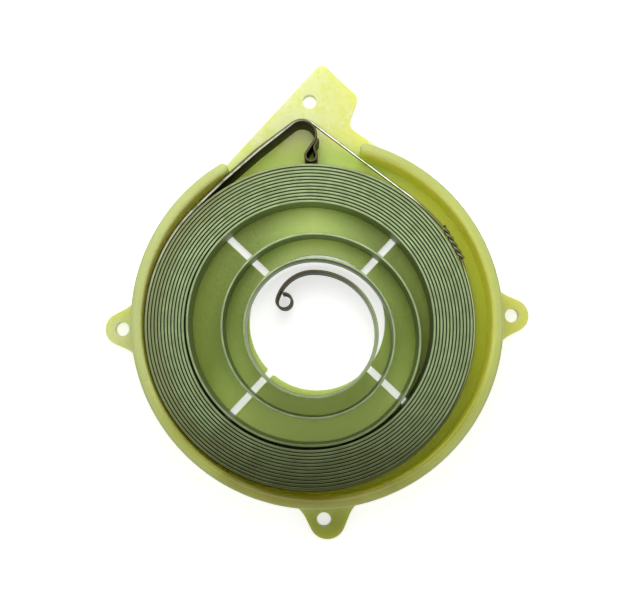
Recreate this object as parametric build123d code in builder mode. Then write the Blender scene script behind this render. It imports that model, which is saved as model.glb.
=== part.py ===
from build123d import *

import os
from collections import namedtuple
from math import acos, atan2, cos, degrees, hypot, radians, sin

os.makedirs("parts", exist_ok=True)

# Spring cassette of a pull starter. A shallow moulded housing holds a long steel strip, wound on
# edge into a tight coil, and a thin wire loop keeps the coil closed until the cassette is fitted.
# Millimetres, +Z up. The origin is on the housing's axis, on its underside. The anchor end of the
# strip and the housing's tab point along +Y.

# Housing
housing_radius = 54.2
wall_thickness = 3.1
floor_thickness = 2.5
wall_height = 10.5
rim_round = 1.3
hub_hole_radius = 20.45
slot_count = 4
slot_width = 2.15
slot_reach = 44.0
slot_center = (0.3, 0.3)
slot_mouth_round = 0.6

# Gap in the wall at the tab, as angles from +X, and the rounding of the two wall ends
gap_start = 74.0
gap_end = 118.2
wall_end_round = 1.4

# Screw ears and the tab. The reaches are from the rim to the screw, outwards. The foot ear's lobe
# is a little larger, and drawn out and to one side of its screw. The tab's corners are given across
# and outwards from the top of the rim.
screw_hole_radius = 2.1
ear_reach = 4.4
ear_flare = 4.0
side_lobe_radius = 5.0
side_ear_root = 15.5
foot_lobe_radius = 5.4
foot_ear_root = 17.0
foot_lobe_out = 0.45
foot_lobe_aside = 1.0
tab_hole_reach = 13.2
tab_tip = (4.1, 25.2)
tab_shoulder = (15.0, 13.9)
tab_notch = (11.5, 5.1)
tab_root_angle = 121.6
tab_tip_round = 2.2
tab_shoulder_round = 2.6
tab_notch_round = 3.0

# Steel strip
strip_width = 10.0
strip_thickness = 0.7
coil_turns = 12
coil_gap = 0.27
coil_shift = 2.41
coil_shift_angle = 203.0
wall_clearance = 0.14

# Loose inner turns: how far each half turn steps in from the one that it follows
loose_offset = 1.25
loose_steps = (1.60, 9.65, 7.80, 7.10, 5.95, 3.80)
hub_bend_radius = 11.0
eye_radius = 2.2
eye_angle = 163.0
eye_gap = 0.3

# Outer end of the strip: it leaves the coil, runs to a bend over the tab and closes in an anchor loop.
# From the loop its tail is pinched against the leg and laps it up to an angle on the bend.
run_radius = 260.0
bend_reach = 0.75
bend_offset = -2.6
bend_radius = 4.15
loop_radius = 1.62
loop_offset = 2.5
loop_clearance = 0.45
lap_gap = 0.08
lap_end_angle = -17.0
pinch_radius = 1.6
tail_radius = 9.0
tail_angle = 15.0

# Retaining wire: its two ends are twisted together beside the coil, between two angles, and from
# there the loop slants down to the other side
wire_diameter = 0.85
wire_clearance = 0.10
wire_drop = 0.7
wire_slant = 2.0
twist_start = 21.0
twist_end = 35.0
twist_turns = 2.5
twist_squeeze = 0.9
twist_bend_radius = 3.0

# Worked out from the sizes above
cavity_radius = housing_radius - wall_thickness
half_strip = strip_thickness / 2
wire_radius = wire_diameter / 2
strip_top = floor_thickness + strip_width
wire_height = strip_top - wire_drop
wire_offset = half_strip + wire_clearance + wire_radius
coil_radius = cavity_radius - wall_clearance - wire_offset - wire_radius - coil_shift
pitch = strip_thickness + coil_gap


def polar(radius, angle, center=(0.0, 0.0)):
    """Point at a radius and an angle in degrees about a centre."""
    return (center[0] + radius * cos(radians(angle)), center[1] + radius * sin(radians(angle)))


def span(point_a, point_b):
    """Distance between two points."""
    return hypot(point_b[0] - point_a[0], point_b[1] - point_a[1])


def heading(point_a, point_b):
    """Direction from one point to another, in degrees."""
    return degrees(atan2(point_b[1] - point_a[1], point_b[0] - point_a[0]))


coil_center = polar(coil_shift, coil_shift_angle)

# Housing: plate with ears, tab, hub hole and slots, and the wall that stands on it


def screw_ear(lobe_radius, root_width, lobe_out=0.0, aside=0.0):
    """Ear along +X: a round lobe, widening to its root on the rim."""
    root_reach = root_width / 2 + abs(aside)
    root_x = (housing_radius**2 - root_reach**2) ** 0.5
    with BuildSketch(mode=Mode.PRIVATE) as ear:
        with BuildLine():
            CenterArc((housing_radius + ear_reach + lobe_out, aside), lobe_radius, 0, 360)
            Line((root_x, aside - root_width / 2), (root_x, aside + root_width / 2))
        make_hull()
    return ear.sketch


def on_rim(vertex):
    """True where the ears' flanks meet the rim."""
    return abs(hypot(vertex.X, vertex.Y) - housing_radius) < 0.01


def nearest(vertices, point):
    """The vertex closest to a point of the outline."""
    return vertices.sort_by_distance((point[0], point[1], 0))[0]


def from_rim(point):
    """Tab point given across and outwards from the top of the rim."""
    return (point[0], housing_radius + point[1])


with BuildSketch() as plate_outline:
    Circle(housing_radius)
    with PolarLocations(0, 2):
        add(screw_ear(side_lobe_radius, side_ear_root))
    with Locations(Rotation(0, 0, -90)):
        add(screw_ear(foot_lobe_radius, foot_ear_root, foot_lobe_out, foot_lobe_aside))
    fillet(plate_outline.vertices().filter_by(on_rim), ear_flare)
    notch = from_rim(tab_notch)
    notch_root_angle = heading((0, 0), notch) - degrees(acos(housing_radius / span((0, 0), notch)))
    with BuildLine():
        Polyline(
            polar(housing_radius, notch_root_angle),
            notch,
            from_rim(tab_shoulder),
            from_rim(tab_tip),
            polar(housing_radius, tab_root_angle),
            (0, 0),
            close=True,
        )
    make_face()
    fillet(nearest(plate_outline.vertices(), from_rim(tab_tip)), tab_tip_round)
    fillet(nearest(plate_outline.vertices(), from_rim(tab_shoulder)), tab_shoulder_round)
    fillet(nearest(plate_outline.vertices(), notch), tab_notch_round)

with BuildSketch() as plate_openings:
    Circle(hub_hole_radius)
    with Locations(slot_center):
        with PolarLocations(0, slot_count, start_angle=180 / slot_count):
            with Locations((slot_reach / 2, 0)):
                Rectangle(slot_reach, slot_width)
    mouths = plate_openings.vertices().filter_by(
        lambda vertex: abs(hypot(vertex.X, vertex.Y) - hub_hole_radius) < 0.01
    )
    fillet(mouths, slot_mouth_round)
    with Locations((0, housing_radius + tab_hole_reach), (0, -housing_radius - ear_reach)):
        Circle(screw_hole_radius)
    with PolarLocations(housing_radius + ear_reach, 2):
        Circle(screw_hole_radius)

with BuildSketch() as wall_outline:
    Circle(housing_radius)
    Circle(cavity_radius, mode=Mode.SUBTRACT)
    with BuildLine():
        gap_depth = 2 * housing_radius
        Polyline((0, 0), polar(gap_depth, gap_start), polar(gap_depth, gap_end), close=True)
    make_face(mode=Mode.SUBTRACT)
    fillet(wall_outline.vertices(), wall_end_round)

with BuildPart() as spring_housing:
    with BuildSketch():
        add(plate_outline.sketch)
        add(plate_openings.sketch, mode=Mode.SUBTRACT)
    extrude(amount=floor_thickness)
    with BuildSketch(Plane.XY.offset(floor_thickness)):
        add(wall_outline.sketch)
    extrude(amount=wall_height)
    fillet(spring_housing.faces().sort_by(Axis.Z)[-1].edges(), rim_round)

spring_housing.part.label = "spring_housing"
export_step(spring_housing.part, "parts/spring_housing.step")

# Strip: a chain of arcs travelled from the anchor loop inwards, and the straights between them.
# Each face of the strip is the same chain, shifted by half the thickness.

Turn = namedtuple("Turn", "center radius start sweep")


def half_turn(x, low, high, start):
    """Half turn between two crossings of the line at x, starting at the lower or the upper one."""
    return Turn((x, (low + high) / 2), (high - low) / 2, start, 180)


def side_edges(turns, shift):
    """Edges along the chain, shifted to the left of the travel."""
    edges = []
    for turn in turns:
        radius = turn.radius - shift if turn.sweep > 0 else turn.radius + shift
        arc = CenterArc(turn.center, radius, turn.start, turn.sweep)
        if edges and (arc @ 0 - edges[-1] @ 1).length > 0.001:
            edges.append(Line(edges[-1] @ 1, arc @ 0))
        edges.append(arc)
    return edges


# Crossings of the coil and of the loose turns, outside in. Half a pitch separates each crossing
# above the coil's centre from the one before it below.
coil_x, coil_y = coil_center
coil_lows = [coil_y - coil_radius + turn * pitch for turn in range(coil_turns)]
coil_highs = [coil_y + coil_radius + pitch / 2 - turn * pitch for turn in range(coil_turns + 1)]
loose_x = coil_x + loose_offset
loose_lows = [coil_lows[-1] + loose_steps[0]]
loose_highs = [coil_highs[-1] - loose_steps[1]]
for step_low, step_high in zip(loose_steps[2::2], loose_steps[3::2]):
    loose_lows.append(loose_lows[-1] + step_low)
    loose_highs.append(loose_highs[-1] - step_high)

coil_turn_list = []
for index, low in enumerate(coil_lows):
    coil_turn_list.append(half_turn(coil_x, low, coil_highs[index], 90))
    coil_turn_list.append(half_turn(coil_x, low, coil_highs[index + 1], -90))
coil_turn_list.append(half_turn(coil_x, loose_lows[0], coil_highs[-1], 90))

loose_turn_list = []
for index, low in enumerate(loose_lows):
    if index > 0:
        loose_turn_list.append(half_turn(loose_x, low, loose_highs[index - 1], 90))
    loose_turn_list.append(half_turn(loose_x, low, loose_highs[index], -90))

# Inner end: a tighter bend into the hub and a small eye that hooks over the pulley's lug
hub_bend = Turn((loose_x, loose_highs[-1] - hub_bend_radius), hub_bend_radius, 90, eye_angle - 90)
eye_shift = hub_bend_radius - eye_radius
eye_reach = hub_bend_radius - strip_thickness - eye_gap
eye_opening = acos((eye_reach**2 - eye_shift**2 - eye_radius**2) / (2 * eye_shift * eye_radius))
eye = Turn(polar(eye_shift, eye_angle, hub_bend.center), eye_radius, eye_angle, 360 - degrees(eye_opening))

# Outer end: the strip comes off the coil into a long shallow bow, which touches both the first
# half turn of the coil and the bend
first_turn = coil_turn_list[0]
bend_center = (bend_offset, housing_radius + bend_reach)
bow_span = span(first_turn.center, bend_center)
bow_to_coil = run_radius - first_turn.radius
bow_to_bend = run_radius - bend_radius
bow_angle = acos((bow_span**2 + bow_to_coil**2 - bow_to_bend**2) / (2 * bow_span * bow_to_coil))
bow_heading = heading(first_turn.center, bend_center) - degrees(bow_angle)
bow_center = polar(bow_to_coil, bow_heading, first_turn.center)
bow_start = heading(bow_center, bend_center)
bow_end = bow_heading + 180
bow = Turn(bow_center, run_radius, bow_start, bow_end - bow_start)
coil_turn_list[0] = first_turn._replace(start=bow_end, sweep=270 - bow_end)

# The anchor loop stands just off the coil and turns the other way, so a straight leg crosses over
# to it from the bend
loop_center = (
    bend_offset + loop_offset,
    coil_highs[1] + strip_thickness + loop_clearance + loop_radius,
)
leg_turn = degrees(acos((bend_radius + loop_radius) / span(bend_center, loop_center)))
leg_angle = heading(bend_center, loop_center) + leg_turn
bend = Turn(bend_center, bend_radius, leg_angle, bow_start - leg_angle)
loop = Turn(loop_center, loop_radius, tail_angle, leg_angle - 180 - tail_angle)

# The tail bows out from the loop, turns back at the pinch and lies along the leg and the bend. The
# pinch is found in the leg's own directions: outwards from it, and along it from the bend.
lap_radius = bend_radius + strip_thickness + lap_gap
tail_center = polar(loop_radius - tail_radius, tail_angle, loop_center)
tail_bearing = radians(heading(bend_center, tail_center) - leg_angle)
tail_out = span(bend_center, tail_center) * cos(tail_bearing)
tail_along = -span(bend_center, tail_center) * sin(tail_bearing)
pinch_out = lap_radius + pinch_radius
pinch_along = tail_along - ((tail_radius + pinch_radius) ** 2 - (pinch_out - tail_out) ** 2) ** 0.5
pinch_center = polar(pinch_along, leg_angle - 90, polar(pinch_out, leg_angle, bend_center))
pinch_end = heading(pinch_center, tail_center)
lap = Turn(bend_center, lap_radius, lap_end_angle, leg_angle - lap_end_angle)
pinch = Turn(pinch_center, pinch_radius, leg_angle + 180, (pinch_end - leg_angle - 180) % 360)
tail = Turn(tail_center, tail_radius, pinch_end + 180, (tail_angle - pinch_end - 180) % 360 - 360)

strip_turns = [lap, pinch, tail, loop, bend, bow] + coil_turn_list + loose_turn_list + [hub_bend, eye]

with BuildPart() as power_spring:
    with BuildSketch(Plane.XY.offset(floor_thickness)):
        with BuildLine():
            left_edges = side_edges(strip_turns, half_strip)
            right_edges = side_edges(strip_turns, -half_strip)
            Line(left_edges[0] @ 0, right_edges[0] @ 0)
            Line(left_edges[-1] @ 1, right_edges[-1] @ 1)
        make_face()
    extrude(amount=strip_width)

power_spring.part.label = "power_spring"
export_step(power_spring.part, "parts/power_spring.step")

# Retaining wire: round the coil and over the bend, a small clearance outside the strip. Beside the
# coil its two ends lie straight and are twisted together. The loop is made level and then slanted.


def outside(turn):
    """The same turn, followed by the wire on the outside of the strip."""
    return turn._replace(radius=turn.radius + wire_offset)


near_turn = outside(coil_turn_list[1])
lift_cosine = (coil_turn_list[1].radius - bend_radius) / span(near_turn.center, bend_center)
lift_angle = heading(near_turn.center, bend_center) - degrees(acos(lift_cosine))

# The loop leaves the coil on a tangent and turns a small corner into the straight chord of the
# twist, and joins the coil again in the same way
twist_angle = (twist_end + twist_start) / 2
twist_spread = twist_end - twist_start
leave_angle = twist_angle - twist_spread
join_angle = twist_angle + twist_spread
corner_reach = (near_turn.radius - twist_bend_radius) / cos(radians(twist_spread / 2))
first_center = polar(corner_reach, twist_start, near_turn.center)
last_center = polar(corner_reach, twist_end, near_turn.center)
wire_turns = [
    Turn(last_center, twist_bend_radius, twist_angle, twist_spread),
    near_turn._replace(start=join_angle, sweep=lift_angle - join_angle),
    Turn(bend_center, bend_radius + wire_offset, lift_angle, bow_start - lift_angle),
    outside(bow),
    outside(coil_turn_list[0]),
    near_turn._replace(sweep=leave_angle + 90),
    Turn(first_center, twist_bend_radius, leave_angle, twist_spread),
]

# The twisted pair stands outside that chord: the inner of its two strands meets the loop's ends
strand_shift = twist_squeeze * wire_radius
inner_start = polar(twist_bend_radius, twist_angle, first_center)
inner_end = polar(twist_bend_radius, twist_angle, last_center)
pair_start = polar(strand_shift, twist_angle, inner_start)
pair_end = polar(strand_shift, twist_angle, inner_end)
pair_length = span(pair_start, pair_end)
pair_plane = Plane(
    origin=(*pair_start, wire_height),
    x_dir=(*polar(1, twist_angle), 0),
    z_dir=(*polar(1, twist_angle + 90), 0),
)

slant_axis = Axis((*pair_start, wire_height), (*polar(1, twist_angle + 90), 0))

with BuildPart(mode=Mode.PRIVATE) as level_wire:
    with BuildLine(Plane.XY.offset(wire_height)) as wire_path:
        side_edges(wire_turns, 0)
    with BuildSketch(Plane(origin=wire_path.line @ 0, z_dir=wire_path.line % 0)):
        Circle(wire_radius)
    sweep(path=wire_path.line)
    with BuildSketch(pair_plane, mode=Mode.PRIVATE) as pair_section:
        with Locations((-strand_shift, 0), (strand_shift, 0)):
            Circle(wire_radius)
    add(Solid.extrude_linear_with_rotation(
        pair_section.sketch.face(), pair_plane.origin, pair_plane.z_dir * pair_length, 360 * twist_turns
    ))

with BuildPart() as retaining_wire:
    add(level_wire.part.rotate(slant_axis, -wire_slant))

retaining_wire.part.label = "retaining_wire"
export_step(retaining_wire.part, "parts/retaining_wire.step")

print("strip length mm", round(power_spring.part.volume / strip_thickness / strip_width))
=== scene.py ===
from collections import namedtuple
from math import acos, asin, atan2, cos, degrees, hypot, pi, radians, sin, tan

import bmesh
import bpy
from mathutils import Matrix, Vector


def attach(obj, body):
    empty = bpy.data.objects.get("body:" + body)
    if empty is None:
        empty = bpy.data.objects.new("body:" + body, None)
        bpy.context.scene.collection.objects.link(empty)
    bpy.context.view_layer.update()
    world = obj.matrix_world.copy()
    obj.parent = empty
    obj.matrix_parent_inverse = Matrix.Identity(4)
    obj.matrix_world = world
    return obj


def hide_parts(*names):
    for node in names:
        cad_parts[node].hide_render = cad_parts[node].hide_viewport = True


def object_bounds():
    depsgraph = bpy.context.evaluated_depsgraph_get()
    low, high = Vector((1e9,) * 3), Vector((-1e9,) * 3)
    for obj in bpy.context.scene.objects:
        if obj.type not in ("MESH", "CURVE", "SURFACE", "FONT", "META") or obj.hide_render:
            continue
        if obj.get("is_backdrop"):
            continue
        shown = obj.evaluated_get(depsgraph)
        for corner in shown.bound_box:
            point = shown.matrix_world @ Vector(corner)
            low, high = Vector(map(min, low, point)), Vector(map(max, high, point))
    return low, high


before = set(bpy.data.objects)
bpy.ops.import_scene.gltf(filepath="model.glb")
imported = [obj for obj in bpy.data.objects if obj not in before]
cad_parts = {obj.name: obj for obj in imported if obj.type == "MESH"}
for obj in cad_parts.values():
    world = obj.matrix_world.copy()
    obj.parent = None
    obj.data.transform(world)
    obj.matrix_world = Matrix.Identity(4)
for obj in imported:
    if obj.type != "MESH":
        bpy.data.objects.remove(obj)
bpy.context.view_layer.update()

# Spring housing. One shallow moulding in natural nylon: a plate with three ears and a tab, and a wall with
# rounded edges that stands on it. Round roots join ears and rim, and the cloudy plastic lets light in.

edge_bevel = 4e-6
edge_bevel_steps = 2
edge_limit = radians(35)
weld_distance = 2e-6
flat_limit = radians(0.2)


def merged_copy(node, name):
    """A CAD node's mesh as a new object, its loose triangles joined and its flat areas made whole."""
    mesh = bpy.data.meshes.new(name)
    form = bmesh.new()
    form.from_mesh(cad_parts[node].data)
    bmesh.ops.remove_doubles(form, verts=form.verts, dist=weld_distance)
    bmesh.ops.dissolve_limit(form, angle_limit=flat_limit, verts=form.verts, edges=form.edges)
    for face in form.faces:
        face.smooth = True
    form.to_mesh(mesh)
    form.free()
    piece = bpy.data.objects.new(name, mesh)
    bpy.context.scene.collection.objects.link(piece)
    return piece


def settled(piece):
    """Turns a piece with its modifiers into a plain mesh and drops the modifiers."""
    bpy.context.view_layer.update()
    graph = bpy.context.evaluated_depsgraph_get()
    mesh = bpy.data.meshes.new_from_object(piece.evaluated_get(graph))
    piece.modifiers.clear()
    piece.data = mesh
    return piece


housing = merged_copy("spring_housing", "housing_moulding")

rim_radius = 0.0542
plate_thickness = 0.0025
root_radius = 0.0090
root_steps = 8
root_inner_share = 0.97
root_overlap = 0.0004
side_ear = {"lobe": (0.0586, 0.0), "lobe_radius": 0.0050, "root_width": 0.0155}
foot_ear = {"lobe": (0.05905, 0.0010), "lobe_radius": 0.0054, "root_width": 0.0170}


def ear_root(lobe, lobe_radius, root_width, side, ear_turn):
    """Outline of the round root between one flank of an ear and the rim, for an ear turned from +X."""
    lobe = Vector(lobe)
    reach = root_width / 2 + abs(lobe.y)
    foot = Vector(((rim_radius**2 - reach**2) ** 0.5, lobe.y + side * root_width / 2))
    swing = side * asin(lobe_radius / (lobe - foot).length)
    flank = Matrix.Rotation(swing, 2) @ (lobe - foot).normalized()
    away = Vector((-flank.y, flank.x)) * side
    start = foot + root_radius * away
    middle = start.dot(flank)
    along = (middle**2 - start.length_squared + (rim_radius + root_radius) ** 2) ** 0.5 - middle
    center = start + along * flank
    on_flank = foot + along * flank - center
    on_rim = center * (rim_radius / (rim_radius + root_radius)) - center
    bend = on_flank.angle_signed(on_rim)
    points = []
    for step in range(root_steps + 1):
        points.append(center + Matrix.Rotation(-bend * step / root_steps, 2) @ on_flank)
    points += [points[-1] * root_inner_share, foot * root_inner_share, points[0] - root_overlap * away]
    return [Matrix.Rotation(ear_turn, 2) @ point for point in points]


def prism(outlines, name):
    """Upright prisms as thick as the plate, one on each outline."""
    form = bmesh.new()
    for outline in outlines:
        base = form.faces.new([form.verts.new((*point, 0.0)) for point in outline])
        raised = bmesh.ops.extrude_face_region(form, geom=[base])["geom"]
        tops = [vertex for vertex in raised if isinstance(vertex, bmesh.types.BMVert)]
        bmesh.ops.translate(form, verts=tops, vec=(0, 0, plate_thickness))
    bmesh.ops.recalc_face_normals(form, faces=form.faces)
    mesh = bpy.data.meshes.new(name)
    form.to_mesh(mesh)
    form.free()
    piece = bpy.data.objects.new(name, mesh)
    bpy.context.scene.collection.objects.link(piece)
    return piece


roots = []
for ear, ear_turn in ((side_ear, 0), (side_ear, pi), (foot_ear, -pi / 2)):
    for side in (1, -1):
        roots.append(ear_root(side=side, ear_turn=ear_turn, **ear))
ear_roots = prism(roots, "ear roots")
joined = housing.modifiers.new("ear roots", "BOOLEAN")
joined.operation = "UNION"
joined.solver = "MANIFOLD"
joined.object = ear_roots
# A bevel as thin as a hair keeps the smooth shading of each face off the next one. The edges stay crisp.
bevel = housing.modifiers.new("edge bevel", "BEVEL")
bevel.width = edge_bevel
bevel.segments = edge_bevel_steps
bevel.limit_method = "ANGLE"
bevel.angle_limit = edge_limit
shading = housing.modifiers.new("even shading", "WEIGHTED_NORMAL")
shading.keep_sharp = True
settled(housing)
bpy.data.objects.remove(ear_roots)


class Finish:
    """A value in a material: its arithmetic adds Math nodes to the material's tree."""

    def __init__(self, tree, socket=None):
        self.tree = tree
        self.socket = socket

    def node(self, kind, settings, values, output=0):
        """Adds a node with its settings, then the values or links of its sockets."""
        made = self.tree.nodes.new(kind)
        for name, setting in settings.items():
            setattr(made, name, setting)
        for name, value in values.items():
            if isinstance(value, Finish):
                self.tree.links.new(value.socket, made.inputs[name])
            else:
                made.inputs[name].default_value = value
        return Finish(self.tree, made.outputs[output] if len(made.outputs) else None)

    def math(self, operation, first, second=0.0):
        return self.node("ShaderNodeMath", {"operation": operation}, {0: first, 1: second})

    def __add__(self, other):
        return self.math("ADD", self, other)

    def __radd__(self, other):
        return self.math("ADD", other, self)

    def __sub__(self, other):
        return self.math("SUBTRACT", self, other)

    def __rsub__(self, other):
        return self.math("SUBTRACT", other, self)

    def __mul__(self, other):
        return self.math("MULTIPLY", self, other)

    def __rmul__(self, other):
        return self.math("MULTIPLY", other, self)

    def between(self, low, high):
        """0 at low, 1 at high, smooth in between."""
        settings = {"interpolation_type": "SMOOTHSTEP"}
        return self.node("ShaderNodeMapRange", settings, {0: self, 1: low, 2: high})

    def blend(self, first, second):
        """A colour from first to second as this value goes from 0 to 1."""
        return self.node("ShaderNodeMix", {"data_type": "RGBA"}, {0: self, 6: first, 7: second}, output=2)


def new_finish(name):
    """A new material with an empty tree, and a first Finish that adds nodes to it."""
    material = bpy.data.materials.new(name)
    material.use_nodes = True
    material.node_tree.nodes.clear()
    return material, Finish(material.node_tree)


def show(start, surface):
    """Ends a material with its surface."""
    start.node("ShaderNodeOutputMaterial", {}, {"Surface": surface})


def place(start):
    """Place on the piece, in metres."""
    return start.node("ShaderNodeTexCoord", {}, {}, output=3)


def noise(start, where, size, detail=2.0, roughness=0.5):
    """Cloudy noise, with features of about one size in metres."""
    values = {"Vector": where, "Scale": 1 / size, "Detail": detail, "Roughness": roughness}
    return start.node("ShaderNodeTexNoise", {}, values)


def dress(piece, material):
    """Gives a piece one material all over."""
    piece.data.materials.clear()
    piece.data.materials.append(material)


def upward(start, low, high):
    """0 where the surface looks sideways, 1 where it looks up."""
    facing = start.node("ShaderNodeNewGeometry", {}, {}, output=1)
    return start.node("ShaderNodeSeparateXYZ", {}, {"Vector": facing}, output=2).between(low, high)


nylon_clear = (0.82, 0.92, 0.24, 1)
nylon_milky = (0.89, 0.98, 0.38, 1)
nylon_speck = (0.96, 1.00, 0.62, 1)
nylon_warm = (0.90, 0.86, 0.12, 1)
nylon_root_shade_left = (0.66, 0.91, 0.12, 1)
nylon_root_shade_right = (0.55, 0.74, 0.12, 1)
nylon_edge_shade = (0.36, 0.41, 0.22, 1)
nylon_foot_shade = (0.38, 0.43, 0.045, 1)
floor_painted_shade = (0.29, 0.385, 0.045, 1)
floor_painted_light = (0.74, 1.00, 0.22, 1)
channel_painted_light = (0.76, 0.82, 0.055, 1)
wall_lip_painted_light = (1.00, 1.00, 0.20, 1)
wall_outer = (0.56, 0.635, 0.18, 1)
wall_near = (0.40, 0.43, 0.12, 1)
wall_pale = (0.59, 0.67, 0.285, 1)
wall_shaded_inner = (0.37, 0.40, 0.05, 1)
wall_shaded_outer = (0.52, 0.58, 0.19, 1)
wall_oil_and_shade_inner = (0.17, 0.14, 0.006, 1)
wall_oil_and_shade_outer = (0.34, 0.36, 0.07, 1)
side_painted_light_low = (0.95, 0.97, 0.10, 1)
side_painted_light_high = (1.00, 1.00, 0.20, 1)
side_oil_and_shade = (0.26, 0.23, 0.02, 1)
side_painted_light_pale = (0.95, 0.97, 0.36, 1)
cavity_radius = 0.0511
floor_shading_radius = 0.0470
floor_shading_fade = 0.002
light_depth = 0.008
relief_depth = 0.0003
cloud_size = 0.006
grain_size = 0.0014
drift_size = 0.018
speck_size = 0.0016

# Where each colour starts and where it is full, in metres: from the hub towards the tab, from the hub
# towards the right, outwards from the hub, and up from the table.
tab_band = (0.036, 0.050)
tab_root_band = (0.030, 0.040)
near_tab_band = (0.030, 0.046)
corner_band = (0.050, 0.038)
foot_half_band = (-0.004, -0.034)
foot_end_band = (-0.030, -0.044)
foot_ear_band = (-0.048, -0.060)
warm_band = (0.004, 0.022)
shade_band = (-0.003, 0.005)
wall_end_band = (-0.010, 0.010)
pale_wall_band = (-0.006, -0.026)
pale_side_band = (-0.004, -0.022)
floor_shade_band = (0.006, 0.026)
past_rim_band = (0.050, 0.058)
corner_edge = (cavity_radius + 0.0008, cavity_radius - 0.0002)
inner_face = (cavity_radius + 0.0006, cavity_radius + 0.0002)
wall_top_band = (cavity_radius, cavity_radius + 0.0034)
wall_lip_band = (cavity_radius, cavity_radius + 0.0016)
wall_rim_band = (0.0534, 0.0538)
above_floor = (0.00245, 0.00255)
above_plate = (0.0028, 0.0050)
upper_wall = (0.0070, 0.0125)
oil_and_shade_height = (0.0080, 0.0120)
plate_top = (0.00256, 0.00252)
plate_side = (0.0018, 0.0022)
wall_crest = (0.0122, 0.0126)

nylon, start = new_finish("natural nylon")
where = place(start)
cloud = noise(start, where, cloud_size, detail=5.0, roughness=0.70).between(0.42, 0.56)
grain = noise(start, where, grain_size, detail=4.0, roughness=0.65)
drift = noise(start, where, drift_size, detail=3.0)
speck = noise(start, where, speck_size, detail=3.0, roughness=0.7).between(0.54, 0.66)
level = start.node("ShaderNodeVectorMath", {"operation": "MULTIPLY"}, {0: where, 1: (1, 1, 0)})
reach = start.node("ShaderNodeVectorMath", {"operation": "LENGTH"}, {0: level}, output=1)
across = start.node("ShaderNodeSeparateXYZ", {}, {"Vector": where})
depth = start.node("ShaderNodeSeparateXYZ", {}, {"Vector": where}, output=1)
height = start.node("ShaderNodeSeparateXYZ", {}, {"Vector": where}, output=2)

# The plate: cloudy and specked at the tab, warmer on the right, greener inside the rim, with painted shade
# at the tab's root and on the foot ear. The channel by the wall gets painted light, and the cavity's floor
# is painted light in the middle and painted shade beside that.
speck = speck * drift.between(0.42, 0.54) * depth.between(*tab_band)
plate = cloud.blend(nylon_clear, nylon_milky)
plate = ((across + 0.012 * drift).between(*warm_band) * 0.6).blend(plate, nylon_warm)
plate = (0.75 * speck).blend(plate, nylon_speck)
# Painted shade at the tab's root, under the bow and the hook, deeper on the right.
tab_root_shade = (1 - reach.between(*past_rim_band)) * depth.between(*tab_root_band)
plate = tab_root_shade.blend(plate, across.between(*shade_band).blend(nylon_root_shade_left, nylon_root_shade_right))
# Painted shade: the foot ear is darker, where the light falls off.
plate = depth.between(*foot_ear_band).blend(plate, nylon_foot_shade)
# Painted light: the channel between the coil and the wall is lighter and more saturated.
corner = reach.between(*corner_edge) * depth.between(*corner_band)
plate = corner.blend(plate, channel_painted_light)
# Painted light in the middle of the cavity's floor and painted shade towards its sides, between the steel
# walls.
floor_shade_mask = start.math("ABSOLUTE", across) + 0.008 * drift + 0.4 * (depth - 0.02)
floor = floor_shade_mask.between(*floor_shade_band).blend(floor_painted_light, floor_painted_shade)
plate = reach.between(floor_shading_radius + floor_shading_fade, floor_shading_radius - floor_shading_fade).blend(plate, floor)

# The wall: painted light along its inner lip, paler at the left, duller at the tab, darker over the foot's
# half as painted shade, and brown with oil towards the foot ear, darkened there by painted shade as well.
wavy_reach = reach + 0.0008 * drift
outward = wavy_reach.between(*wall_top_band)
past_lip = wavy_reach.between(*wall_lip_band)
foot_half_shade = depth.between(*foot_half_band)
foot_end = (depth + 0.016 * drift).between(*foot_end_band)
# Painted light along the wall's inner lip.
wall = past_lip.blend(wall_lip_painted_light, wall_outer)
# Painted shade: the wall is darker over the foot's half, where the light falls off.
wall = foot_half_shade.blend(wall, outward.blend(wall_shaded_inner, wall_shaded_outer))
# Brown oil towards the foot ear, darkened further by painted shade.
wall = foot_end.blend(wall, outward.blend(wall_oil_and_shade_inner, wall_oil_and_shade_outer))
pale_wall = across.between(*pale_wall_band) * (1 - foot_half_shade)
wall = (0.7 * pale_wall).blend(wall, wall_pale)
near_tab = (0.25 + 0.25 * across.between(*wall_end_band)) * depth.between(*near_tab_band)
wall = near_tab.blend(wall, wall_near)
nylon_colour = height.between(*above_plate).blend(plate, wall)

# The wall's inner side, lifted by painted light against its shade and brown with oil and painted shade
# towards the foot, and a thin dull line of painted shade along the upper edges of the plate and of the
# wall.
# Painted light: the inner side, shaded between the coil and the wall, is coloured bright yellow.
side = height.between(*upper_wall).blend(side_painted_light_low, side_painted_light_high)
side = across.between(*pale_side_band).blend(side, side_painted_light_pale)
side = (foot_end * height.between(*oil_and_shade_height)).blend(side, side_oil_and_shade)
inner_side = reach.between(*inner_face) * height.between(*above_floor)
nylon_colour = (inner_side * (1 - upward(start, 0.05, 0.50))).blend(nylon_colour, side)
plate_edge = height.between(*plate_top) * height.between(*plate_side)
wall_edge = reach.between(*wall_rim_band) * height.between(*wall_crest)
# Painted shade: a thin darker line where the upper edges turn away from the top.
thin_edge_shade = (1 - upward(start, 0.55, 1.0)) * start.math("MAXIMUM", plate_edge, wall_edge)
nylon_colour = thin_edge_shade.blend(nylon_colour, nylon_edge_shade)

relief = start.node("ShaderNodeBump", {}, {"Strength": 0.6, "Distance": relief_depth, "Height": grain})
show(start, start.node("ShaderNodeBsdfPrincipled", {}, {
    "Base Color": nylon_colour,
    "Roughness": 0.16 + 0.4 * grain,
    "Normal": relief,
    "Subsurface Weight": 0.6,
    "Subsurface Radius": (1.0, 0.9, 0.3),
    "Subsurface Scale": light_depth,
    "IOR": 1.53,
    "Specular IOR Level": 0.35,
}))
dress(housing, nylon)
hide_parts("spring_housing")
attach(housing, "root")

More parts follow.
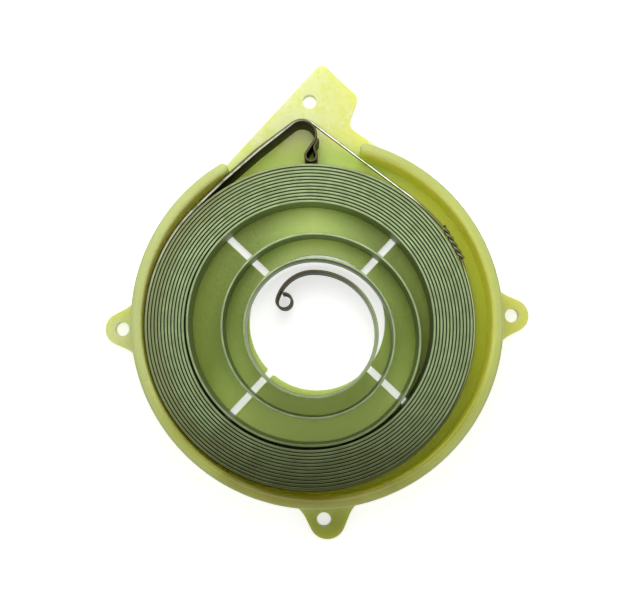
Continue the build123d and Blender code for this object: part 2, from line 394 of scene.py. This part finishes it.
# Power spring. One rolled steel strip wound on edge: an eye at the hub, loose turns, a tight coil, a
# long bow out to the bend, and an anchor loop. Both ends were softened in a flame and stay dark.

# The sizes of the strip and the wire are in millimetres, and path_curve makes them metres.
floor_height = 2.5
strip_width = 10.0
strip_thickness = 0.7
strip_edge_round = 0.15
strip_edge_steps = 3
strip_ripple = 0.16
ripple_rest = 0.75
ripple_rate = 9.0
coil_turns = 12
coil_pitch = 0.97
coil_radius = 47.25
coil_shift = 2.41
coil_shift_angle = 203.0
loose_offset = 1.25
loose_steps = (1.60, 9.65, 7.80, 7.10, 5.95, 3.80)
hub_bend_radius = 11.0
eye_radius = 2.2
eye_angle = 163.0
eye_gap = 0.3
run_radius = 260.0
bend_center = (-2.6, 54.95)
bend_radius = 4.15
loop_radius = 1.62
loop_offset = 2.5
loop_clearance = 0.45
lap_gap = 0.08
lap_end_angle = -17.0
pinch_radius = 1.6
tail_radius = 9.0
tail_angle = 15.0

Turn = namedtuple("Turn", "center radius start sweep")


def polar(radius, angle, center=(0.0, 0.0)):
    """Point at a radius and an angle in degrees about a centre."""
    return (center[0] + radius * cos(radians(angle)), center[1] + radius * sin(radians(angle)))


def span(point_a, point_b):
    """Distance between two points."""
    return hypot(point_b[0] - point_a[0], point_b[1] - point_a[1])


def heading(point_a, point_b):
    """Direction from one point to another, in degrees."""
    return degrees(atan2(point_b[1] - point_a[1], point_b[0] - point_a[0]))


def half_turn(x, low, high, start):
    """Half turn between two crossings of the line at x, starting at the lower or the upper one."""
    return Turn((x, (low + high) / 2), (high - low) / 2, start, 180)


coil_x, coil_y = polar(coil_shift, coil_shift_angle)
coil_lows = [coil_y - coil_radius + turn * coil_pitch for turn in range(coil_turns)]
coil_highs = [coil_y + coil_radius + (0.5 - turn) * coil_pitch for turn in range(coil_turns + 1)]
loose_x = coil_x + loose_offset
loose_lows = [coil_lows[-1] + loose_steps[0]]
loose_highs = [coil_highs[-1] - loose_steps[1]]
for step_low, step_high in zip(loose_steps[2::2], loose_steps[3::2]):
    loose_lows.append(loose_lows[-1] + step_low)
    loose_highs.append(loose_highs[-1] - step_high)

coil_turn_list = []
for index, low in enumerate(coil_lows):
    coil_turn_list.append(half_turn(coil_x, low, coil_highs[index], 90))
    coil_turn_list.append(half_turn(coil_x, low, coil_highs[index + 1], -90))
coil_turn_list.append(half_turn(coil_x, loose_lows[0], coil_highs[-1], 90))
loose_turn_list = []
for index, low in enumerate(loose_lows):
    if index > 0:
        loose_turn_list.append(half_turn(loose_x, low, loose_highs[index - 1], 90))
    loose_turn_list.append(half_turn(loose_x, low, loose_highs[index], -90))

hub_bend = Turn((loose_x, loose_highs[-1] - hub_bend_radius), hub_bend_radius, 90, eye_angle - 90)
eye_shift = hub_bend_radius - eye_radius
eye_reach = hub_bend_radius - strip_thickness - eye_gap
eye_opening = acos((eye_reach**2 - eye_shift**2 - eye_radius**2) / (2 * eye_shift * eye_radius))
eye = Turn(polar(eye_shift, eye_angle, hub_bend.center), eye_radius, eye_angle, 360 - degrees(eye_opening))

first_turn = coil_turn_list[0]
bow_span = span(first_turn.center, bend_center)
bow_to_coil = run_radius - first_turn.radius
bow_to_bend = run_radius - bend_radius
bow_angle = acos((bow_span**2 + bow_to_coil**2 - bow_to_bend**2) / (2 * bow_span * bow_to_coil))
bow_end = heading(first_turn.center, bend_center) - degrees(bow_angle) + 180
bow_center = polar(bow_to_coil, bow_end - 180, first_turn.center)
bow_start = heading(bow_center, bend_center)
bow = Turn(bow_center, run_radius, bow_start, bow_end - bow_start)
coil_turn_list[0] = first_turn._replace(start=bow_end, sweep=270 - bow_end)

loop_center = (bend_center[0] + loop_offset, coil_highs[1] + strip_thickness + loop_clearance + loop_radius)
leg_turn = degrees(acos((bend_radius + loop_radius) / span(bend_center, loop_center)))
leg_angle = heading(bend_center, loop_center) + leg_turn
bend = Turn(bend_center, bend_radius, leg_angle, bow_start - leg_angle)
loop = Turn(loop_center, loop_radius, tail_angle, leg_angle - 180 - tail_angle)
lap_radius = bend_radius + strip_thickness + lap_gap
tail_center = polar(loop_radius - tail_radius, tail_angle, loop_center)
tail_bearing = radians(heading(bend_center, tail_center) - leg_angle)
tail_out = span(bend_center, tail_center) * cos(tail_bearing)
tail_along = -span(bend_center, tail_center) * sin(tail_bearing)
pinch_out = lap_radius + pinch_radius
pinch_along = tail_along - ((tail_radius + pinch_radius) ** 2 - (pinch_out - tail_out) ** 2) ** 0.5
pinch_center = polar(pinch_along, leg_angle - 90, polar(pinch_out, leg_angle, bend_center))
pinch_end = heading(pinch_center, tail_center)
lap = Turn(bend_center, lap_radius, lap_end_angle, leg_angle - lap_end_angle)
pinch = Turn(pinch_center, pinch_radius, leg_angle + 180, (pinch_end - leg_angle - 180) % 360)
tail = Turn(tail_center, tail_radius, pinch_end + 180, (tail_angle - pinch_end - 180) % 360 - 360)

strip_turns = [lap, pinch, tail, loop, bend, bow] + coil_turn_list + loose_turn_list + [hub_bend, eye]


def chain_points(turns, step_angle, step_length):
    """Points along a chain of arcs, at most a step apart in angle or in length."""
    points = []
    for turn in turns:
        steps = max(2, round(abs(turn.sweep) / max(step_angle, degrees(step_length / turn.radius))))
        for step in range(steps + 1):
            point = polar(turn.radius, turn.start + turn.sweep * step / steps, turn.center)
            if not points or span(points[-1], point) > same_point:
                points.append(point)
    return points


def path_curve(name, paths):
    """A curve of poly splines through lists of points in millimetres."""
    curve = bpy.data.curves.new(name, "CURVE")
    curve.dimensions = "3D"
    for points in paths:
        spline = curve.splines.new("POLY")
        spline.points.add(len(points) - 1)
        for target, point in zip(spline.points, points):
            target.co = (*(value / 1000 for value in point), 1)
    piece = bpy.data.objects.new(name, curve)
    bpy.context.scene.collection.objects.link(piece)
    return piece


path_step_angle = 2.5
path_step_length = 0.3
same_point = 0.01
strip_points = chain_points(strip_turns, path_step_angle, path_step_length)
strip_middle = floor_height + strip_width / 2
strip = path_curve("spring_strip", [[(x, y, strip_middle) for x, y in strip_points]])


class Tree:
    """A Geometry Nodes tree for one piece, with named inputs that its modifier sets."""

    def __init__(self, name):
        self.group = bpy.data.node_groups.new(name, "GeometryNodeTree")
        self.group.interface.new_socket("Geometry", in_out="INPUT", socket_type="NodeSocketGeometry")
        self.group.interface.new_socket("Geometry", in_out="OUTPUT", socket_type="NodeSocketGeometry")
        self.start = self.group.nodes.new("NodeGroupInput")
        self.values = {}

    def size(self, name, value):
        """A named input of the tree, with its value."""
        socket = self.group.interface.new_socket(name, in_out="INPUT", socket_type="NodeSocketFloat")
        self.values[socket.identifier] = value
        return self.start.outputs[socket.identifier]

    def node(self, kind, settings, values, output=0):
        """Adds a node as Finish does, and gives one of its outputs."""
        made = self.group.nodes.new(kind)
        for name, setting in settings.items():
            setattr(made, name, setting)
        for name, value in values.items():
            if isinstance(value, bpy.types.NodeSocket):
                self.group.links.new(value, made.inputs[name])
            else:
                made.inputs[name].default_value = value
        return made.outputs[output]

    def finish(self, geometry, material, piece):
        """Ends the tree, runs it on the piece and leaves a plain mesh object."""
        shown = self.node("GeometryNodeRealizeInstances", {}, {"Geometry": geometry})
        shown = self.node("GeometryNodeSetShadeSmooth", {}, {"Geometry": shown})
        shown = self.node("GeometryNodeSetMaterial", {}, {"Geometry": shown, "Material": material})
        end = self.group.nodes.new("NodeGroupOutput")
        self.group.links.new(shown, end.inputs[0])
        modifier = piece.modifiers.new(self.group.name, "NODES")
        modifier.node_group = self.group
        for identifier, value in self.values.items():
            modifier[identifier] = value
        bpy.context.view_layer.update()
        graph = bpy.context.evaluated_depsgraph_get()
        mesh = bpy.data.meshes.new_from_object(piece.evaluated_get(graph))
        made = bpy.data.objects.new(piece.name + "_form", mesh)
        bpy.context.scene.collection.objects.link(made)
        bpy.data.objects.remove(piece)
        return made


steel_pale = (0.315, 0.41, 0.205, 1)
steel_dull = (0.225, 0.29, 0.135, 1)
steel_side = (0.23, 0.28, 0.13, 1)
warm_steel = (0.20, 0.21, 0.085, 1)
oil_and_shade_steel = (0.036, 0.039, 0.006, 1)
burnt_steel = (0.020, 0.016, 0.005, 1)
burnt_edge_highlight = (0.085, 0.070, 0.035, 1)
rubbed_steel = (0.44, 0.44, 0.35, 1)
burnt_at_loop = 0.060
burnt_at_eye = 0.035
flame_fade = 0.03
flame_waver = 0.02
mottle_size = 0.004
scratch_size = 0.0008
scratch_depth = 0.00004
flame_size = 0.006
rubbed_start = (0.020, 0.034)
rubbed_end = (0.120, 0.080)
outer_length = (2.2, 1.2)
left_side_band = (0.010, -0.030)
oil_and_shade_band = (-0.006, -0.046)
reflection_shade_band = (0.020, 0.038)

spring_steel, start = new_finish("spring steel")
where = place(start)
along = start.node("ShaderNodeAttribute", {"attribute_name": "along"}, {}, output=2)
left = start.node("ShaderNodeAttribute", {"attribute_name": "left"}, {}, output=2)
mottle = noise(start, where, mottle_size, detail=4.0, roughness=0.7)
scratch = noise(start, where, scratch_size, detail=3.0, roughness=0.7)
flame = noise(start, where, flame_size, detail=2.0)
across = start.node("ShaderNodeSeparateXYZ", {}, {"Vector": where})
depth = start.node("ShaderNodeSeparateXYZ", {}, {"Vector": where}, output=1)
crown = upward(start, 0.86, 1.0)
wavy_along = along + flame_waver * flame
wavy_left = left + flame_waver * flame
rubbed = crown * along.between(*rubbed_start) * wavy_along.between(*rubbed_end)
loop_mark = wavy_along.between(burnt_at_loop + flame_fade, burnt_at_loop)
eye_mark = wavy_left.between(burnt_at_eye + flame_fade, burnt_at_eye)
burnt = start.math("MAXIMUM", loop_mark, eye_mark)
# Oil and painted shade: the steel darkens towards the foot, where the light falls off.
oil_and_shade_below = (depth + 0.012 * flame).between(*oil_and_shade_band)
left_side = (across + 0.02 * flame).between(*left_side_band)
outer_turns = (along + 0.6 * mottle).between(*outer_length) * left_side
bright = mottle.between(0.3, 0.7).blend(steel_dull, steel_pale)
bright = (0.7 * outer_turns).blend(bright, warm_steel)
bright = oil_and_shade_below.blend(bright, oil_and_shade_steel)
# Painted shade: the steel is a little darker on the tab's side, to damp the lamp's reflection there.
bright = (0.28 * depth.between(*reflection_shade_band)).blend(bright, oil_and_shade_steel)
bright = crown.blend((0.5 * oil_and_shade_below).blend(steel_side, oil_and_shade_steel), bright)
# Painted highlight: the top edges of the flame-darkened ends are lighter.
bright = burnt.blend(bright, crown.blend(burnt_steel, burnt_edge_highlight))
relief = start.node("ShaderNodeBump", {}, {"Strength": 0.25, "Distance": scratch_depth, "Height": scratch})
show(start, start.node("ShaderNodeBsdfPrincipled", {}, {
    "Base Color": (rubbed * mottle.between(0.3, 0.55)).blend(bright, rubbed_steel),
    "Metallic": 0.75 + 0.1 * burnt,
    "Roughness": 0.40 + 0.18 * scratch + 0.1 * burnt,
    "Normal": relief,
}))

tree = Tree("strip on edge")
width = tree.size("Width", strip_width / 1000)
thickness = tree.size("Thickness", strip_thickness / 1000)
corner = tree.size("Edge round", strip_edge_round / 1000)
ripple = tree.size("Ripple", strip_ripple / 1000)
path = tree.group.nodes["Group Input"].outputs["Geometry"]
path = tree.node("GeometryNodeSetCurveNormal", {"mode": "Z_UP"}, {"Curve": path})
travelled = tree.node("GeometryNodeSplineParameter", {}, {}, output=1)
total = tree.node("GeometryNodeSplineLength", {}, {})
remaining = tree.node("ShaderNodeMath", {"operation": "SUBTRACT"}, {0: total, 1: travelled})
for name, value in (("along", travelled), ("left", remaining)):
    path = tree.node("GeometryNodeStoreNamedAttribute", {"domain": "POINT"},
                     {"Geometry": path, "Name": name, "Value": value})
wander = tree.node("ShaderNodeTexNoise", {"noise_dimensions": "1D"}, {"W": travelled, "Scale": ripple_rate})
sunk = tree.node("ShaderNodeMath", {"operation": "SUBTRACT"}, {0: wander, 1: ripple_rest})
sunk = tree.node("ShaderNodeMath", {"operation": "MULTIPLY"}, {0: sunk, 1: ripple})
lift = tree.node("ShaderNodeCombineXYZ", {}, {"Z": sunk})
path = tree.node("GeometryNodeSetPosition", {}, {"Geometry": path, "Offset": lift})
section = tree.node("GeometryNodeCurvePrimitiveQuadrilateral", {}, {"Width": thickness, "Height": width})
section = tree.node("GeometryNodeFilletCurve", {"mode": "POLY"},
                    {"Curve": section, "Count": strip_edge_steps, "Radius": corner})
form = tree.node("GeometryNodeCurveToMesh", {},
                 {"Curve": path, "Profile Curve": section, "Fill Caps": True})
spring = tree.finish(form, spring_steel, strip)
spring.name = "coiled_strip"
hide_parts("power_spring")
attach(spring, "root")

# Retaining wire. Bright soft wire, drawn tight round the coil and over the bend so that the spring
# stays closed for fitting. Its two ends are twisted together, and the twist lies along the coil.

wire_diameter = 0.85
wire_clearance = 0.10
wire_drop = 0.7
wire_slant = radians(2.0)
twist_start = 21.0
twist_end = 35.0
twist_turns = 2.5
twist_squeeze = 0.9
twist_steps = 60
twist_bend_radius = 3.0
wire_radius = wire_diameter / 2
wire_offset = strip_thickness / 2 + wire_clearance + wire_radius
wire_height = floor_height + strip_width - wire_drop
wire_sides = 14


def outside(turn):
    """The same turn, followed by the wire on the outside of the strip."""
    return turn._replace(radius=turn.radius + wire_offset)


near_turn = outside(coil_turn_list[1])
lift_cosine = (coil_turn_list[1].radius - bend_radius) / span(near_turn.center, bend_center)
lift_angle = heading(near_turn.center, bend_center) - degrees(acos(lift_cosine))
twist_angle = (twist_end + twist_start) / 2
twist_spread = twist_end - twist_start
leave_angle = twist_angle - twist_spread
join_angle = twist_angle + twist_spread
corner_reach = (near_turn.radius - twist_bend_radius) / cos(radians(twist_spread / 2))
first_center = polar(corner_reach, twist_start, near_turn.center)
last_center = polar(corner_reach, twist_end, near_turn.center)
wire_turns = [
    Turn(last_center, twist_bend_radius, twist_angle, twist_spread),
    near_turn._replace(start=join_angle, sweep=lift_angle - join_angle),
    Turn(bend_center, bend_radius + wire_offset, lift_angle, bow_start - lift_angle),
    outside(bow),
    outside(coil_turn_list[0]),
    near_turn._replace(sweep=leave_angle + 90),
    Turn(first_center, twist_bend_radius, leave_angle, twist_spread),
]
dip_depth = 2.0
dip_reach = 7.0
dip_full = 3.0


def dip(point):
    """How far the wire sinks at a point, most beside the bend and fading away from it."""
    away = max(0.0, span(point, bend_center) - dip_full - bend_radius)
    share = max(0.0, 1 - away / dip_reach)
    return dip_depth * share * share * (3 - 2 * share)


strand_shift = twist_squeeze * wire_radius
pair_start = polar(twist_bend_radius + strand_shift, twist_angle, first_center)
pair_end = polar(twist_bend_radius + strand_shift, twist_angle, last_center)
slant_hinge = Vector((*pair_start, wire_height))
slant_turn = Matrix.Rotation(-wire_slant, 3, Vector((*polar(1, twist_angle + 90), 0)))


def slanted(x, y, z):
    """A point of the level loop, after the loop is slanted about the twist."""
    return tuple(slant_hinge + slant_turn @ (Vector((x, y, z)) - slant_hinge))


def strand(phase):
    """One of the two strands of the twist."""
    points = []
    for step in range(twist_steps + 1):
        share = step / twist_steps
        turn = phase + 2 * pi * twist_turns * share
        x = pair_start[0] + (pair_end[0] - pair_start[0]) * share
        y = pair_start[1] + (pair_end[1] - pair_start[1]) * share
        x, y = polar(strand_shift * cos(turn), twist_angle, (x, y))
        points.append(slanted(x, y, wire_height + strand_shift * sin(turn)))
    return points


loop_points = chain_points(wire_turns, path_step_angle, path_step_length)
loop_path = [slanted(x, y, wire_height - dip((x, y))) for x, y in loop_points]
wire = path_curve("wire_path", [loop_path, strand(pi), strand(0)])

wire_dull = (0.38, 0.45, 0.22, 1)
wire_bright = (0.66, 0.66, 0.58, 1)
wire_side_shade = (0.085, 0.085, 0.04, 1)
wire_twisted = (0.18, 0.17, 0.10, 1)
wire_darker = (0.10, 0.11, 0.05, 1)
rub_size = 0.003
twist_below = (0.036, 0.031)
twist_above = (0.012, 0.016)
darker_left = (0.000, -0.006)
darker_foot = (-0.004, -0.030)

drawn_wire, start = new_finish("bright drawn wire")
where = place(start)
rub = noise(start, where, rub_size, detail=3.0, roughness=0.7)
across = start.node("ShaderNodeSeparateXYZ", {}, {"Vector": where})
depth = start.node("ShaderNodeSeparateXYZ", {}, {"Vector": where}, output=1)
wire_colour = rub.between(0.3, 0.6).blend(wire_dull, wire_bright)
beyond_run = depth.between(*twist_below)
wire_colour = beyond_run.blend(wire_colour, wire_dull)
wire_colour = (beyond_run * depth.between(*twist_above)).blend(wire_colour, wire_twisted)
# The wire is darker on the left and towards the foot.
wire_darkening = start.math("MAXIMUM", across.between(*darker_left), depth.between(*darker_foot))
wire_colour = wire_darkening.blend(wire_colour, wire_darker)
# Painted shade: the wire's sides are dark and only its top takes the wire's colour.
show(start, start.node("ShaderNodeBsdfPrincipled", {}, {
    "Base Color": upward(start, 0.72, 0.98).blend(wire_side_shade, wire_colour),
    "Metallic": 1.0,
    "Roughness": 0.30 + 0.15 * rub,
}))

tree = Tree("round wire")
radius = tree.size("Radius", wire_radius / 1000)
path = tree.group.nodes["Group Input"].outputs["Geometry"]
section = tree.node("GeometryNodeCurvePrimitiveCircle", {}, {"Resolution": wire_sides, "Radius": radius})
form = tree.node("GeometryNodeCurveToMesh", {},
                 {"Curve": path, "Profile Curve": section, "Fill Caps": True})
wire = tree.finish(form, drawn_wire, wire)
wire.name = "tie_wire"
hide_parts("retaining_wire")
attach(wire, "root")

# Table. A plain pale sheet, white where the camera sees it, which keeps the part's shadow.

table_reach = 1.2
table_drop = 0.0002
table_colour = (0.86, 0.86, 0.86, 1)
table_glow = 0.58
white = (1, 1, 1, 1)
corners = [(-table_reach, -table_reach), (table_reach, -table_reach),
           (table_reach, table_reach), (-table_reach, table_reach)]
table_mesh = bpy.data.meshes.new("table")
table_mesh.from_pydata([(x, y, -table_drop) for x, y in corners], [], [(0, 1, 2, 3)])
table = bpy.data.objects.new("table", table_mesh)
bpy.context.scene.collection.objects.link(table)


def seen_ray(start):
    """1 for what is seen, straight or in a gloss or glass, and 0 for the light that falls on things."""
    rays = [start.node("ShaderNodeLightPath", {}, {}, output=name)
            for name in ("Is Camera Ray", "Is Glossy Ray", "Is Transmission Ray")]
    return start.math("MAXIMUM", start.math("MAXIMUM", rays[0], rays[1]), rays[2])


table_finish, start = new_finish("pale table")
paper = start.node("ShaderNodeBsdfDiffuse", {}, {"Color": table_colour})
glow = start.node("ShaderNodeEmission", {}, {"Color": white, "Strength": table_glow})
seen_paper = start.node("ShaderNodeAddShader", {}, {0: paper, 1: glow})
show(start, start.node("ShaderNodeMixShader", {}, {0: seen_ray(start), 1: paper, 2: seen_paper}))
dress(table, table_finish)
table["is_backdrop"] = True

# Light. A soft box close above the tab's half of the part, a low wide one beyond the tab, and an even
# white room, which looks brighter than the light that it gives.

room_light = 0.57
bpy.context.scene.view_settings.view_transform = "Standard"
world = bpy.data.worlds.new("room")
bpy.context.scene.world = world
world.use_nodes = True
world.node_tree.nodes.clear()
start = Finish(world.node_tree)
room_strength = room_light + (1 - room_light) * seen_ray(start)
room = start.node("ShaderNodeBackground", {}, {"Color": white, "Strength": room_strength})
start.node("ShaderNodeOutputWorld", {}, {"Surface": room})


def soft_box(name, where, aim, width, power):
    """A square lamp that faces a place on the part."""
    lamp = bpy.data.lights.new(name, "AREA")
    lamp.size = width
    lamp.energy = power
    box = bpy.data.objects.new(name, lamp)
    box.location = where
    box.rotation_mode = "QUATERNION"
    box.rotation_quaternion = (Vector(aim) - Vector(where)).to_track_quat("-Z", "Y")
    bpy.context.scene.collection.objects.link(box)


soft_box("key box", where=(0.0, 0.062, 0.115), aim=(0.0, 0.062, 0.0), width=0.07, power=0.048)
soft_box("low box", where=(-0.02, 0.24, 0.11), aim=(0.0, 0.0, 0.0), width=0.20, power=0.18)

# Camera. It looks almost straight down, slightly from the foot ear's side, with the part turned a
# little, at the distance that gives the wall and the strip their lean in the picture.

camera_distance = 0.280
camera_tilt = radians(3.4)
camera_focus = 924
picture_width = 640
sensor_width = 36
picture_turn = radians(1.99)
picture_shift = Vector((-0.00086, -0.00490, 0))

to_part = Matrix.Rotation(-picture_turn, 3, "Z")
aim = to_part @ -picture_shift
stand = to_part @ (Vector((0, -camera_distance * tan(camera_tilt), camera_distance)) - picture_shift)
camera_data = bpy.data.cameras.new("camera")
camera_data.sensor_width = sensor_width
camera_data.lens = camera_focus / picture_width * sensor_width
camera = bpy.data.objects.new("camera", camera_data)
back = (stand - aim).normalized()
across = to_part @ Vector((1, 0, 0))
camera.matrix_world = Matrix((across, back.cross(across), back)).transposed().to_4x4()
camera.location = stand
bpy.context.scene.collection.objects.link(camera)
bpy.context.scene.camera = camera

low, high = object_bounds()
